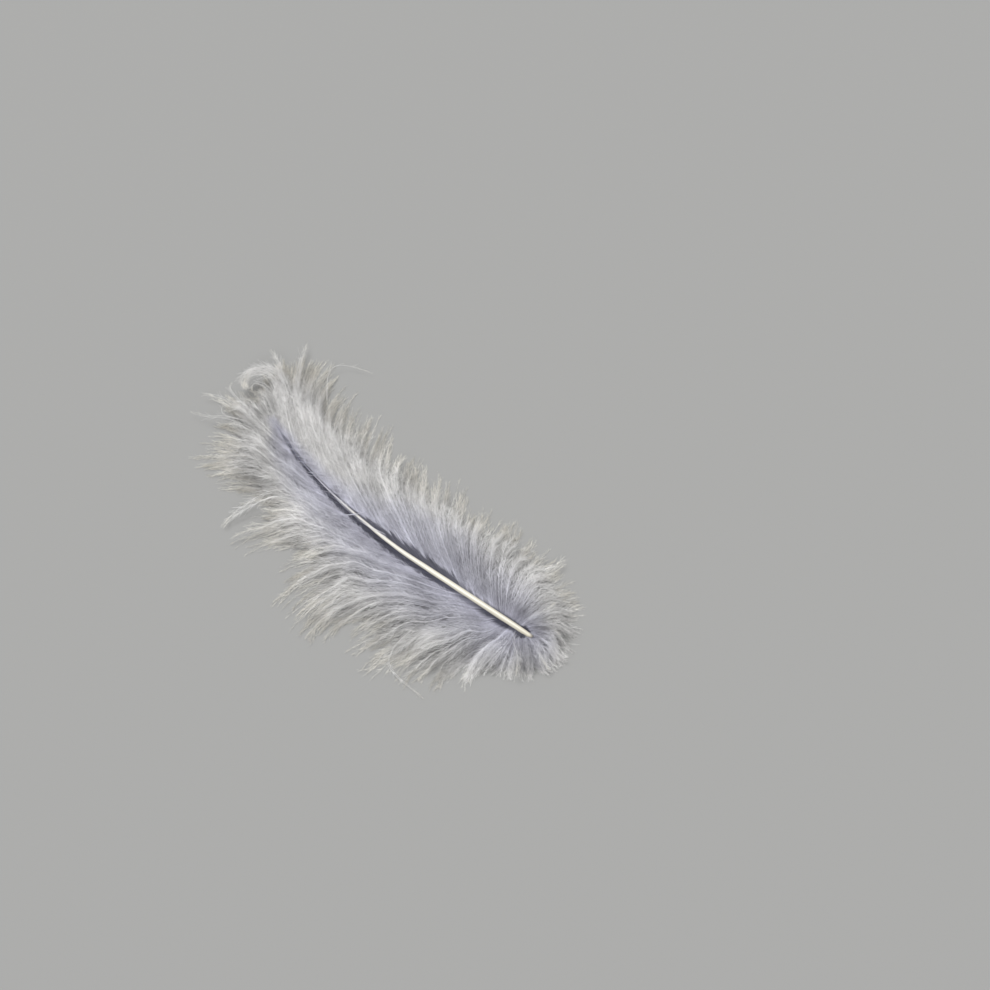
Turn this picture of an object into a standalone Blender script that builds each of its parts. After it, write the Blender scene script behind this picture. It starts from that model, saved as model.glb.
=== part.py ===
"""A downy quill feather, lying on a flat surface with the grooved side of its shaft up.

One piece: a tapered shaft with a short bare quill end, and around it a ring of pointed locks of down.
The locks spring from the shaft, share one pleated sheet near it, arch over a crest and part into
separate tips that droop to the surface. Metres, +Z up, quill end towards -Y, tip towards +Y; the
origin is under the middle of the feather, on the surface it lies on.
"""
import math

import bmesh
import bpy

MM = 0.001

# Where the quill end is, in the part's frame (mm). Everything below is measured from the quill end.
QUILL_AT_X = 11.5
QUILL_AT_Y = -61.5

# The shaft's centre line: distance along the feather, sideways bow and height above the surface (mm).
SHAFT_LINE = (
    (0.0, 0.0, 6.6),
    (11.4, -2.4, 6.3),
    (24.5, -5.2, 6.0),
    (36.0, -7.7, 5.8),
    (48.0, -10.1, 5.6),
    (65.0, -12.1, 5.5),
    (80.0, -12.9, 5.5),
    (92.0, -12.7, 5.8),
    (103.0, -11.3, 6.3),
    (114.0, -9.9, 6.8),
)
# Shaft radius (mm) along the feather: a round quill that thins to a bristle inside the tip down.
SHAFT_RADIUS = (
    (-0.9, 0.56), (-0.4, 0.68), (0.3, 0.76), (4.0, 0.88), (30.0, 0.90), (46.0, 0.78), (60.0, 0.58),
    (72.0, 0.46), (108.0, 0.42),
)
SHAFT_STEP = 4.0
SHAFT_END = 108.0

# Tip of each lock (mm from the quill end) and the way it points there, in degrees from the feather's
# own direction, turning outwards. From the quill end up the left side, then the same on the right.
LEFT_TIPS = (
    (-1.0, -10.5, 178), (-6.0, -9.0, 165), (-10.0, -5.5, 150), (-14.5, -1.5, 135), (-20.0, 2.0, 119),
    (-25.0, 5.0, 108), (-29.5, 7.0, 122), (-36.0, 12.0, 124), (-36.0, 18.0, 114), (-42.5, 22.5, 98),
    (-40.0, 29.5, 88), (-38.0, 34.0, 100), (-44.0, 36.5, 120), (-48.0, 40.0, 124), (-49.0, 44.5, 116),
    (-46.0, 49.5, 106), (-45.0, 56.5, 104), (-44.0, 61.5, 94), (-37.5, 67.0, 78), (-40.0, 71.5, 72),
    (-45.0, 76.0, 82), (-46.0, 81.0, 86), (-43.0, 84.0, 90), (-44.0, 89.0, 92), (-38.0, 93.5, 76),
    (-32.0, 97.0, 48), (-36.0, 103.0, 60), (-38.0, 106.5, 68), (-36.0, 111.5, 64), (-35.0, 115.0, 58),
    (-29.0, 119.0, 48), (-24.0, 122.5, 40), (-20.0, 127.5, 28), (-16.5, 133.0, 18), (-12.0, 130.5, 8),
)
RIGHT_TIPS = (
    (3.0, -11.5, 178), (7.0, -10.0, 165), (12.0, -7.5, 152), (16.5, -3.5, 140), (20.5, 1.0, 122),
    (23.5, 6.5, 102), (25.5, 12.0, 84), (26.0, 18.0, 70), (25.5, 24.5, 62), (25.5, 31.0, 56),
    (24.5, 36.5, 52), (23.5, 42.5, 50), (22.0, 47.5, 48), (19.5, 53.0, 45), (19.5, 59.5, 42),
    (17.5, 64.5, 40), (17.0, 69.0, 44), (19.0, 74.0, 52), (19.0, 80.0, 62), (18.0, 86.0, 60),
    (18.0, 90.0, 62), (19.0, 96.0, 64), (18.0, 102.0, 70), (16.5, 106.5, 78), (16.5, 110.5, 82),
    (21.0, 115.5, 80), (22.5, 121.5, 78), (18.5, 125.0, 62), (16.5, 129.5, 50), (12.5, 130.5, 38),
    (9.5, 134.5, 20), (6.0, 133.0, 10), (1.5, 131.5, -4), (-7.0, 130.5, -36),
)
# Where along the shaft (mm) a lock is rooted, its angle to the shaft there (degrees), and how far the
# handle of its curve reaches from there (in chords), by its number.
LEFT_ROOTS = (
    (0, 1.5), (3, 4.5), (6, 6.5), (9, 8.5), (12, 12.0), (16, 20.0), (20, 31.0), (24, 43.0), (28, 57.0),
    (31, 71.0), (34, 100.5),
)
LEFT_LEAVES = (
    (0, 160), (3, 110), (5, 84), (7, 60), (9, 46), (12, 30), (16, 21), (20, 17), (28, 16), (34, 9),
)
LEFT_REACHES = ((0, 0.50), (6, 0.50), (9, 0.62), (12, 0.74), (16, 0.80), (31, 0.80), (34, 0.60))
RIGHT_ROOTS = (
    (0, 2.0), (3, 4.0), (6, 6.5), (9, 9.5), (12, 17.0), (16, 26.0), (20, 39.0), (24, 56.0), (28, 76.0),
    (31, 90.0), (33, 102.0),
)
RIGHT_LEAVES = (
    (0, 142), (3, 106), (5, 78), (7, 58), (9, 47), (12, 34), (16, 28), (20, 19), (28, 19), (33, 10),
)
RIGHT_REACHES = ((0, 0.70), (7, 0.76), (9, 0.74), (12, 0.62), (20, 0.62), (24, 0.55), (33, 0.55))
# The reach of the handle at a lock's tip (in chords).
TIP_REACH = 0.30

# How high the down stands (mm): over the shaft's bow along the feather, and at the tips in turn.
CREST_AWAY = 12.5
CREST_HEIGHT = ((0, 7.2), (12, 8.8), (30, 10.2), (80, 10.4), (104, 8.8))
PUFFS = (0.0, 0.9, 0.3, 1.2, 0.5)
LIFTED_TIPS = (2.4, 0.0, 1.1, 0.0, 1.7, 0.0, 0.6)
FALL = (0.30, 0.90)     # shares of a lock's length between which it falls to the surface

# Shares of a lock's length where it has a section; its point is at 1. Neighbours share one sheet up to
# the section at which their seam ends, so the free fingers have uneven lengths and stand in tufts.
SECTIONS = (0.0, 0.13, 0.26, 0.39, 0.51, 0.62, 0.72, 0.82, 0.91)
SEAM_ENDS = (4, 6, 4, 5, 3, 5, 4, 6, 5, 4, 5)
FINGER_NARROWS = 0.75
ROOT_HALF_GAP = 0.12    # half the width of the slot round the shaft's centre line (mm)
SHEET_THICK = 0.75      # mm
SHEET_THICK_ROOT = 0.45
TIP_THINS = 0.45        # share of the thickness lost by a finger's tip
RIDGE = 1.0             # how far a lock's middle stands over its edges (mm)
GROOVE = 0.55           # how far a seam sinks between two locks (mm)


def between(stations, at):
    """The value at a place along a list of (place, value) stations, on straight runs."""
    for low, high in zip(stations, stations[1:]):
        if at <= high[0]:
            break
    share = max(0.0, min(1.0, (at - low[0]) / (high[0] - low[0])))
    return low[1] + (high[1] - low[1]) * share


def ease(share):
    """0 to 1 with a soft start and end."""
    share = max(0.0, min(1.0, share))
    return share * share * (3.0 - 2.0 * share)


def shaft_point(along):
    """Centre of the shaft (x, y, z), in mm from the quill end, on a smooth curve through its stations."""
    last = len(SHAFT_LINE) - 1
    i = max(0, min(last - 1, sum(station[0] <= along for station in SHAFT_LINE) - 1))
    before, low, high, after = (SHAFT_LINE[min(last, max(0, k))] for k in (i - 1, i, i + 1, i + 2))
    step = high[0] - low[0]
    t = (along - low[0]) / step
    place = []
    for column in (1, 2):
        slope_low = (high[column] - before[column]) / (high[0] - before[0]) * step
        slope_high = (after[column] - low[column]) / (after[0] - low[0]) * step
        place.append((2 * t**3 - 3 * t**2 + 1) * low[column] + (t**3 - 2 * t**2 + t) * slope_low
                     + (3 * t**2 - 2 * t**3) * high[column] + (t**3 - t**2) * slope_high)
    return place[0], along, place[1]


def shaft_turn(along):
    """The shaft's direction as an angle from +Y, positive towards +X."""
    x0, y0, _ = shaft_point(along - 1.0)
    x1, y1, _ = shaft_point(along + 1.0)
    return math.atan2(x1 - x0, y1 - y0)


def shaft_distance(x, y):
    """How far a point is from the shaft's centre line, seen from above."""
    stops = [min(SHAFT_END, max(0.0, y + shift)) for shift in range(-12, 13, 2)]
    return min(math.dist((x, y), shaft_point(stop)[:2]) for stop in stops)


class Lock:
    """One lock of down: its curve in plan from the shaft to its tip, and its height along it."""

    def __init__(self, side, number, tip, roots, leaves, reaches):
        along = between(roots, number)
        x, y, self.root_height = shaft_point(along)
        turn = shaft_turn(along)
        leave = turn + side * math.radians(between(leaves, number))
        self.root = (x + side * ROOT_HALF_GAP * math.cos(turn), y - side * ROOT_HALF_GAP * math.sin(turn))
        self.tip = tip[:2]
        point = side * math.radians(tip[2])
        chord = math.dist(self.root, self.tip)
        reach = between(reaches, number) * chord
        self.near = (self.root[0] + reach * math.sin(leave), self.root[1] + reach * math.cos(leave))
        self.far = (self.tip[0] - TIP_REACH * chord * math.sin(point),
                    self.tip[1] - TIP_REACH * chord * math.cos(point))
        self.crest = between(CREST_HEIGHT, along) + PUFFS[number % len(PUFFS)]
        self.lift = LIFTED_TIPS[number % len(LIFTED_TIPS)]
        self.root_thick = min(SHEET_THICK_ROOT, between(SHAFT_RADIUS, along))

    def plan(self, share):
        a, b, c, d = (1 - share)**3, 3 * (1 - share)**2 * share, 3 * (1 - share) * share**2, share**3
        return tuple(a * p + b * q + c * r + d * s
                     for p, q, r, s in zip(self.root, self.near, self.far, self.tip))

    def point(self, share):
        """A point on top of the lock's edges: up from the shaft to the crest, then down to the tip."""
        x, y = self.plan(share)
        rise = ease(shaft_distance(x, y) / CREST_AWAY)
        arched = self.root_height + (self.crest - self.root_height) * rise
        fall = ease((share - FALL[0]) / (FALL[1] - FALL[0]))
        return x, y, arched + (self.lift + self.thickness(share) - arched) * fall

    def across(self, share):
        """Unit vector in plan across the lock, clockwise from its direction."""
        x0, y0 = self.plan(max(0.0, share - 0.01))
        x1, y1 = self.plan(min(1.0, share + 0.01))
        length = math.hypot(x1 - x0, y1 - y0)
        return (y1 - y0) / length, -(x1 - x0) / length

    def thickness(self, share):
        spread = self.root_thick + (SHEET_THICK - self.root_thick) * ease(share / 0.3)
        return spread * (1.0 - TIP_THINS * ease((share - 0.5) * 2.0))

    def ridge(self, share):
        return RIDGE * ease(share / 0.35) * (1.0 - 0.6 * ease((share - 0.5) * 2.0))


def ring_of_locks():
    """All locks in order around the shaft, clockwise from the quill end, seen from above."""
    left = [Lock(-1, i, tip, LEFT_ROOTS, LEFT_LEAVES, LEFT_REACHES) for i, tip in enumerate(LEFT_TIPS)]
    right = [Lock(1, i, tip, RIGHT_ROOTS, RIGHT_LEAVES, RIGHT_REACHES) for i, tip in enumerate(RIGHT_TIPS)]
    return left + right[::-1]


def placed(point):
    """A point in mm from the quill end as metres in the part's frame."""
    return (point[0] + QUILL_AT_X) * MM, (point[1] + QUILL_AT_Y) * MM, point[2] * MM


class Vanes:
    """The ring of locks as one closed mesh, thin as a sheet, whose outer edge is cut into fingers."""

    def __init__(self, locks):
        self.locks = locks
        self.bm = bmesh.new()
        self.seams = [self.seam(i) for i in range(len(locks))]
        for i in range(len(locks)):
            self.add_lock(i)
        bmesh.ops.triangulate(self.bm, faces=self.bm.faces)
        bmesh.ops.recalc_face_normals(self.bm, faces=self.bm.faces)

    def vertex(self, x, y, z):
        return self.bm.verts.new(placed((x, y, max(0.0, z))))

    def edge(self, x, y, top, thick):
        """The upper and lower corner of the sheet's edge at a place."""
        return self.vertex(x, y, top), self.vertex(x, y, top - thick)

    def seam(self, i):
        """The shared edge between lock i and the next: its place in plan, and its corners."""
        lock, after = self.locks[i], self.locks[(i + 1) % len(self.locks)]
        seam = []
        for share in SECTIONS[:SEAM_ENDS[i % len(SEAM_ENDS)] + 1]:
            x, y, z = ((a + b) / 2 for a, b in zip(lock.point(share), after.point(share)))
            thick = (lock.thickness(share) + after.thickness(share)) / 2
            top = z - GROOVE * ease(share / 0.35)
            seam.append(((x, y), self.edge(x, y, top, thick)))
        return seam

    def side(self, lock, seam, k):
        """A lock's edge at section k: the seam's while it lasts, and then the free finger's own."""
        if k < len(seam):
            return seam[k][1]
        split = SECTIONS[len(seam) - 1]
        x, y = lock.plan(split)
        nx, ny = lock.across(split)
        (seam_x, seam_y), _ = seam[-1]
        half = (seam_x - x) * nx + (seam_y - y) * ny
        share = SECTIONS[k]
        half *= ((1.0 - share) / (1.0 - split))**FINGER_NARROWS
        x, y, z = lock.point(share)
        nx, ny = lock.across(share)
        return self.edge(x + nx * half, y + ny * half, z, lock.thickness(share))

    def add_lock(self, i):
        lock, left, right = self.locks[i], self.seams[i - 1], self.seams[i]
        sections = []
        for k, share in enumerate(SECTIONS):
            x, y, z = lock.point(share)
            left_top, left_low = self.side(lock, left, k)
            right_top, right_low = self.side(lock, right, k)
            crown = self.vertex(x, y, z + lock.ridge(share))
            keel = self.vertex(x, y, z - lock.thickness(share))
            sections.append((left_top, crown, right_top, right_low, keel, left_low))
        self.bm.faces.new(sections[0])
        for k, (near, far) in enumerate(zip(sections, sections[1:]), start=1):
            for corner in range(6):
                walled_off = (corner == 5 and k < len(left)) or (corner == 2 and k < len(right))
                if not walled_off:
                    after = (corner + 1) % 6
                    self.bm.faces.new((near[corner], far[corner], far[after], near[after]))
        x, y, z = lock.point(1.0)
        point = self.vertex(x, y, z - lock.thickness(1.0))
        last = sections[-1]
        for corner in range(6):
            self.bm.faces.new((last[corner], point, last[(corner + 1) % 6]))

    def mesh(self):
        made = bpy.data.meshes.new("down")
        self.bm.to_mesh(made)
        self.bm.free()
        return made


def shaft_mesh():
    """The shaft: a curve along its centre line with a bevel that follows its radius, as a mesh."""
    stops = [SHAFT_RADIUS[0][0], SHAFT_RADIUS[1][0], SHAFT_RADIUS[2][0]]
    while stops[-1] + SHAFT_STEP < SHAFT_END:
        stops.append(stops[-1] + SHAFT_STEP)
    stops.append(SHAFT_END)
    curve = bpy.data.curves.new("shaft", "CURVE")
    curve.dimensions = "3D"
    curve.bevel_depth = MM
    curve.bevel_resolution = 3
    curve.use_fill_caps = True
    spline = curve.splines.new("POLY")
    spline.points.add(len(stops) - 1)
    for point, along in zip(spline.points, stops):
        point.co = (*placed(shaft_point(along)), 1.0)
        point.radius = between(SHAFT_RADIUS, along)
    guide = bpy.data.objects.new("shaft_curve", curve)
    bpy.context.scene.collection.objects.link(guide)
    shaped = guide.evaluated_get(bpy.context.evaluated_depsgraph_get())
    mesh = bpy.data.meshes.new_from_object(shaped)
    bpy.data.objects.remove(guide)
    bm = bmesh.new()
    bm.from_mesh(mesh)
    bmesh.ops.remove_doubles(bm, verts=bm.verts, dist=0.01 * MM)
    bmesh.ops.recalc_face_normals(bm, faces=bm.faces)
    bm.to_mesh(mesh)
    bm.free()
    return mesh


def material(name, colour, roughness):
    made = bpy.data.materials.new(name)
    made.use_nodes = True
    shader = made.node_tree.nodes["Principled BSDF"]
    shader.inputs["Base Color"].default_value = (*colour, 1.0)
    shader.inputs["Roughness"].default_value = roughness
    shader.inputs["Metallic"].default_value = 0.0
    return made


def main():
    for thing in list(bpy.data.objects):
        bpy.data.objects.remove(thing, do_unlink=True)
    shown = bpy.data.collections.new("downy_feather")
    tools = bpy.data.collections.new("tools")
    for collection in (shown, tools):
        bpy.context.scene.collection.children.link(collection)

    shaft = bpy.data.objects.new("shaft_tool", shaft_mesh())
    shaft.data.materials.clear()
    shaft.data.materials.append(material("keratin", (0.84, 0.80, 0.70), 0.4))
    shaft.hide_render = True
    shaft.display_type = "WIRE"
    tools.objects.link(shaft)

    feather = bpy.data.objects.new("feather", Vanes(ring_of_locks()).mesh())
    feather.data.materials.append(material("down", (0.60, 0.60, 0.66), 0.9))
    shown.objects.link(feather)
    joined = feather.modifiers.new("shaft", "BOOLEAN")
    joined.operation = "UNION"
    joined.solver = "EXACT"
    joined.object = shaft


main()
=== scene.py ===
"""A downy quill feather on a pale floor: its shaft, its barbs, and the barbules that make them down.

Lengths are in millimetres from the quill end (x across, y along the feather, z up) until placed() turns
them into metres in the part's frame. The tables of the shaft and of the locks are the part's own.
"""
import math

import bpy
import numpy as np
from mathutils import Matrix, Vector


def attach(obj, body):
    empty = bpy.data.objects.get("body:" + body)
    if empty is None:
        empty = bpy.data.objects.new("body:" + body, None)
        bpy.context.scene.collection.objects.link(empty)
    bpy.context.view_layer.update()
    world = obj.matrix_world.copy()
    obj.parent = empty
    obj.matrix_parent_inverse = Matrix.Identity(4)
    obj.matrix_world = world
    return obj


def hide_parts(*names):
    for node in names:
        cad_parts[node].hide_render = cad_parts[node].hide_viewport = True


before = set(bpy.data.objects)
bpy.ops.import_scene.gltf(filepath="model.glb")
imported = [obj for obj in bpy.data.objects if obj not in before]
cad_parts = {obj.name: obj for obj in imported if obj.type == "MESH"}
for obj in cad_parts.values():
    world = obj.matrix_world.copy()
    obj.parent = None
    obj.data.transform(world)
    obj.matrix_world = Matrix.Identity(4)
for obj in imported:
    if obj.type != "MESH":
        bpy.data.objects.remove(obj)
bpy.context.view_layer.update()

MM = 0.001
RANDOM = np.random.default_rng(7)

# ---- The part's own measures --------------------------------------------------------------------------

# Where the quill end is, in the part's frame.
QUILL_AT_X = 11.5
QUILL_AT_Y = -61.5
# The shaft's centre line: distance along the feather, sideways bow and height above the surface.
SHAFT_LINE = (
    (0.0, 0.0, 6.6),
    (11.4, -2.4, 6.3),
    (24.5, -5.2, 6.0),
    (36.0, -7.7, 5.8),
    (48.0, -10.1, 5.6),
    (65.0, -12.1, 5.5),
    (80.0, -12.9, 5.5),
    (92.0, -12.7, 5.8),
    (103.0, -11.3, 6.3),
    (114.0, -9.9, 6.8),
)
SHAFT_END = 108.0
# Tip of each lock and the way it points there, in degrees from the feather's own direction, turning
# outwards. From the quill end up the left side, then the same on the right.
LEFT_TIPS = (
    (-1.0, -10.5, 178), (-6.0, -9.0, 165), (-10.0, -5.5, 150), (-14.5, -1.5, 135), (-20.0, 2.0, 119),
    (-25.0, 5.0, 108), (-29.5, 7.0, 122), (-36.0, 12.0, 124), (-36.0, 18.0, 114), (-42.5, 22.5, 98),
    (-40.0, 29.5, 88), (-38.0, 34.0, 100), (-44.0, 36.5, 120), (-48.0, 40.0, 124), (-49.0, 44.5, 116),
    (-46.0, 49.5, 106), (-45.0, 56.5, 104), (-44.0, 61.5, 94), (-37.5, 67.0, 78), (-40.0, 71.5, 72),
    (-45.0, 76.0, 82), (-46.0, 81.0, 86), (-43.0, 84.0, 90), (-44.0, 89.0, 92), (-38.0, 93.5, 76),
    (-32.0, 97.0, 48), (-36.0, 103.0, 60), (-38.0, 106.5, 68), (-36.0, 111.5, 64), (-35.0, 115.0, 58),
    (-29.0, 119.0, 48), (-24.0, 122.5, 40), (-20.0, 127.5, 28), (-16.5, 133.0, 18), (-12.0, 130.5, 8),
)
RIGHT_TIPS = (
    (3.0, -11.5, 178), (7.0, -10.0, 165), (12.0, -7.5, 152), (16.5, -3.5, 140), (20.5, 1.0, 122),
    (23.5, 6.5, 102), (25.5, 12.0, 84), (26.0, 18.0, 70), (25.5, 24.5, 62), (25.5, 31.0, 56),
    (24.5, 36.5, 52), (23.5, 42.5, 50), (22.0, 47.5, 48), (19.5, 53.0, 45), (19.5, 59.5, 42),
    (17.5, 64.5, 40), (17.0, 69.0, 44), (19.0, 74.0, 52), (19.0, 80.0, 62), (18.0, 86.0, 60),
    (18.0, 90.0, 62), (19.0, 96.0, 64), (18.0, 102.0, 70), (16.5, 106.5, 78), (16.5, 110.5, 82),
    (21.0, 115.5, 80), (22.5, 121.5, 78), (18.5, 125.0, 62), (16.5, 129.5, 50), (12.5, 130.5, 38),
    (9.5, 134.5, 20), (6.0, 133.0, 10), (1.5, 131.5, -4), (-7.0, 130.5, -36),
)
# Where along the shaft a lock is rooted, its angle to the shaft there (degrees), and how far the handle
# of its curve reaches from there (in chords), by its number.
LEFT_ROOTS = (
    (0, 1.5), (3, 4.5), (6, 6.5), (9, 8.5), (12, 12.0), (16, 20.0), (20, 31.0), (24, 43.0), (28, 57.0),
    (31, 71.0), (34, 100.5),
)
LEFT_LEAVES = (
    (0, 160), (3, 110), (5, 84), (7, 60), (9, 46), (12, 30), (16, 21), (20, 17), (28, 16), (34, 9),
)
LEFT_REACHES = ((0, 0.50), (6, 0.50), (9, 0.62), (12, 0.74), (16, 0.80), (31, 0.80), (34, 0.60))
RIGHT_ROOTS = (
    (0, 2.0), (3, 4.0), (6, 6.5), (9, 9.5), (12, 17.0), (16, 26.0), (20, 39.0), (24, 56.0), (28, 76.0),
    (31, 90.0), (33, 102.0),
)
RIGHT_LEAVES = (
    (0, 142), (3, 106), (5, 78), (7, 58), (9, 47), (12, 34), (16, 28), (20, 19), (28, 19), (33, 10),
)
RIGHT_REACHES = ((0, 0.70), (7, 0.76), (9, 0.74), (12, 0.62), (20, 0.62), (24, 0.55), (33, 0.55))
TIP_REACH = 0.30        # the reach of the handle at a lock's tip (in chords)
# How high the down stands: this far from the shaft, along the feather, and at the tips in turn.
CREST_AWAY = 12.5
CREST_HEIGHT = ((0, 7.2), (12, 8.8), (30, 10.2), (80, 10.4), (104, 8.8))
PUFFS = (0.0, 0.9, 0.3, 1.2, 0.5)
LIFTED_TIPS = (2.4, 0.0, 1.1, 0.0, 1.7, 0.0, 0.6)
FALL = (0.30, 0.90)     # shares of a lock's length between which it falls to the surface
RIDGE = 1.0             # how far a lock's middle stands over its edges
GROOVE = 0.55           # how far a seam sinks between two locks

# ---- The shaft ----------------------------------------------------------------------------------------

# Finer than the part's own: it thins to a bristle inside the down of the tip.
SHAFT_RADIUS = (
    (-0.9, 0.50), (-0.75, 0.58), (-0.2, 0.64), (1.0, 0.72), (3.0, 0.79), (7.0, 0.84), (28.0, 0.86),
    (36.0, 0.82), (44.0, 0.72), (52.0, 0.60), (58.0, 0.50), (66.0, 0.36), (76.0, 0.24), (84.0, 0.17),
    (108.0, 0.09),
)

# ---- The barbs ----------------------------------------------------------------------------------------

BARBS_IN_ALL = 1290
# How close the barbs stand, by the number of the lock.
BARBS_BY_LOCK = (
    (0, 2.1), (1, 1.5), (3, 1.1), (6, 0.92), (24, 0.92), (28, 1.15), (31, 1.45), (40, 1.45), (44, 1.1),
    (48, 0.92), (64, 0.92), (66, 1.2), (68, 2.1), (69, 2.1),
)
ROOT_PLACES = 2001      # places round the shaft at which that is read
STRANDS_A_LOCK = 3.5    # towards its tip the down parts into this many strands a lock
BARB_STEPS = 22
BARB_SIDES = 3
BARB_RADIUS = ((0.0, 0.10), (0.25, 0.070), (0.7, 0.038), (1.0, 0.010))      # by share of its length
STRAND_MIXES = 0.25     # how far from its strand a barb may be rooted, in strands
STRAND_UNEVEN = 0.22    # how unevenly the strands lie beside each other, in strands
CLUMP = (0.10, 0.90)    # how far a barb draws towards its strand by its tip
LOCK_CLUMP = (0.0, 0.50)    # how far a strand draws towards the middle of its lock
PARTS_AT = 0.56         # share of a barb's length at which the strands start to part
TIP_SCATTER = 0.8       # how far from its strand a barb ends, either way
STRAND_SWING = 1.5      # how far a strand's end swings aside
STRAND_LENGTHS = (0.86, 1.03)
BARB_LENGTHS = (0.80, 1.03)
STRAND_RISE = 0.40      # how much higher or lower than the next a strand lies
TIP_RISE = 0.6          # how high a barb's tip lies over its lock's, and how unevenly the strands' tips do
# How far the highest barbs lie under the locks' tops, which their barbules reach, and how far from the
# shaft they lie so.
DOWN_SINKS = 2.0
SINKS_FROM = 8.0
# Where the down is shorter than its locks reach, by the number of the lock.
SHORT_AT = (
    (0, 1.0), (10.4, 1.0), (11.0, 0.86), (11.6, 1.0), (17.3, 1.0), (18.2, 0.85), (19.2, 0.84), (19.8, 1.0),
    (21.4, 1.0), (22.2, 0.72), (23.3, 0.72), (24.4, 1.0), (33.8, 1.0), (34.2, 0.78), (35.3, 0.80),
    (35.8, 1.0), (37.0, 0.94), (43.0, 0.94), (45.0, 1.0), (70, 1.0),
)
# By the number of the lock: how uneven the barbs' lengths are, how far they draw together, and how
# fluffy they are.
UNEVEN_AT = ((0, 1.0), (35.5, 1.0), (37.0, 0.45), (43.0, 0.45), (45.0, 0.8), (70, 1.0))
DRAWN_AT = ((0, 0.8), (3, 1.0), (34, 1.0), (37, 0.5), (44, 0.55), (50, 0.85), (66, 0.85), (70, 0.8))
FLUFF_AT = ((0, 1.9), (3, 1.4), (6, 1.0), (63, 1.0), (66, 1.4), (69, 1.9))
# The share of the barbs that reach as far as that, by the number of the lock, and how far the rest reach.
FULL_LENGTH = (
    (0, 1.0), (30.6, 1.0), (32.0, 0.55), (33.0, 0.42), (35.0, 0.38), (36.0, 0.9), (37.0, 1.0), (70, 1.0),
)
HELD_BACK = (0.78, 0.95)
# How far a barb's tip turns warmer, by the number of the lock: not at the quill end.
WARMTH = ((0, 0.2), (3, 0.5), (6, 1.0), (64, 1.0), (67, 0.5), (69, 0.2))
# At this place, by the number of the lock, the down parts: its half width (in locks) and depth, and its
# two banks, as how far from it each is and how much lighter, and their half width.
PARTING = 5.55
PARTING_WIDE = 0.36
PARTING_DEEP = 2.4
# The lighter bank is painted light and the darker one painted shade.
PARTING_BANKS = ((-0.75, 0.30), (0.55, -0.22))
BANK_WIDE = 0.45
DOWN_DEPTH = 6.0        # how far the lowest barbs lie under the highest at the crest
TOP_HEAVY = 1.25        # over 1, more barbs lie near the top than near the floor
HOVER = 0.25            # how far off its layer a barb lies
LOWEST = 0.12           # no barb is nearer to the floor, and no barbule's tip nearer than half of this
LOWEST_SPREAD = 0.25    # barbs that are held up there differ by as much
SWELL = 0.8             # hills and hollows in the down
SWELL_PITCH = 10.0
# The waves that make them up, and their pitches as shares of that.
SWELL_WAVES = 16
SWELL_PITCHES = (0.7, 1.8)
# The share of a barb's length over which ridges and seams, rises and the parting, depth and hover start.
RELIEF_STARTS = 0.35
RISE_STARTS = 0.30
DEPTH_STARTS = (0.02, 0.33)     # from here on, over this share
HOVER_STARTS = 0.40
# How far from the shaft hills and depth are full, and how far relief, hills and depth fade by the tip.
SWELL_AWAY = 6.0
DEPTH_AWAY = 5.0
RELIEF_FADES = 0.60
SWELL_FADES = 0.50
DEPTH_FADES = 0.80
DEPTH_FADES_FROM = 0.50         # share of a barb's length
WAVE = 0.25             # sideways waves of a barb by its tip
WAVE_TURNS = (5.0, 11.0)    # their turn over its length (radians)
WAVE_UNEVEN = (0.3, 1.6)    # how their heights differ from barb to barb
SCATTER_LATE = 2.4      # over 1, barbs scatter and swing aside nearer to their tips
# How light a barb is from 0 to 1, how far strands and barbs differ in it, and how much the low ones lose as
# painted shade.
TONE = 0.58
STRAND_TONE = 0.11
BARB_TONE = 0.12
LOW_PAINTED_SHADE = 0.22
LOW_FROM = 0.4          # the depth, from 0 to 1, at which a barb loses nothing
TONE_RANGE = (0.05, 0.95)

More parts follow.
